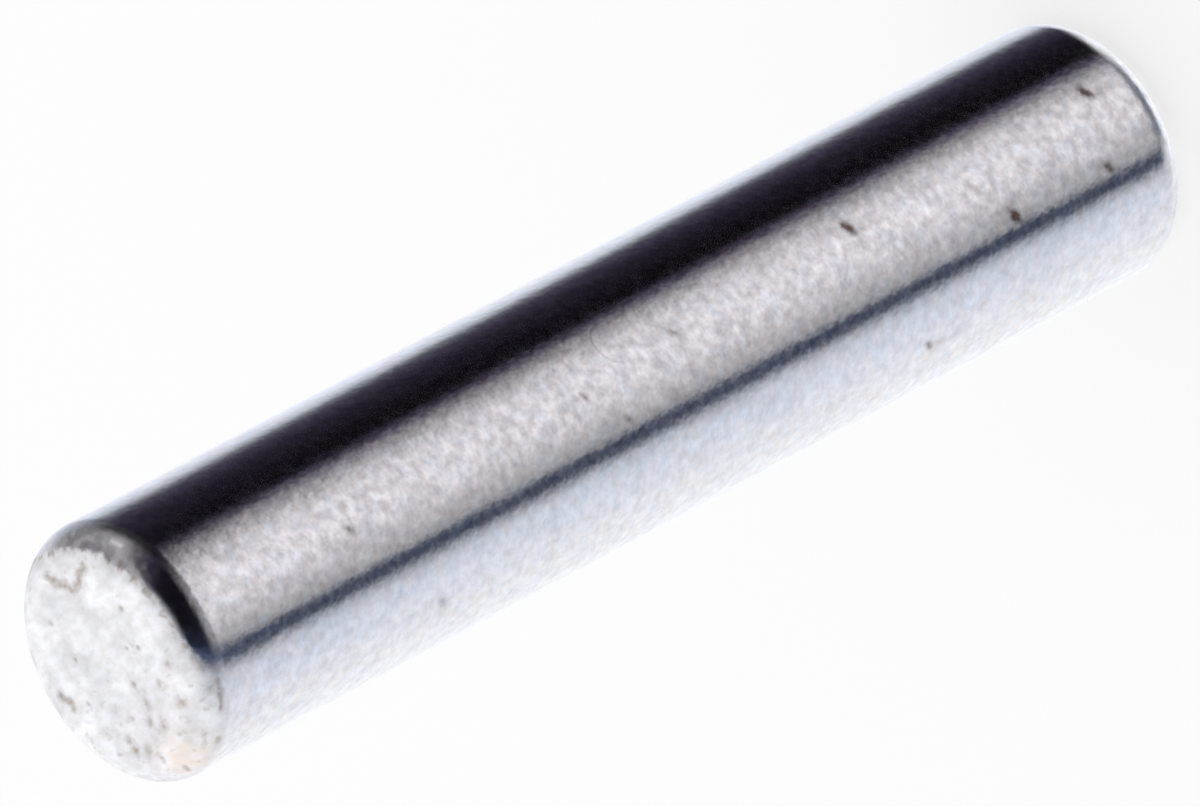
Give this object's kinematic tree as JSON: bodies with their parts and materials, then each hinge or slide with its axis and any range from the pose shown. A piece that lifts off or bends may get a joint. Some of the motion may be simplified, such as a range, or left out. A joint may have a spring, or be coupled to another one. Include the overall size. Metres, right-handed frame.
{
  "type": "dowel pin",
  "caption": "Plain parallel dowel pin of ground steel with flat ends and rounded end edges, pressed into reamed holes to locate two parts.",
  "frame": {"origin": "centre of the lower flat end, on the pin's axis", "axes": "+Z along the pin's axis, from the lower end to the upper end"},
  "size_m": [0.004, 0.004, 0.02],
  "materials": {
    "pin": "ground shank, rough cut end faces"
  },
  "bodies": {
    "root": {"pin": "pin"}
  },
  "joints": []
}
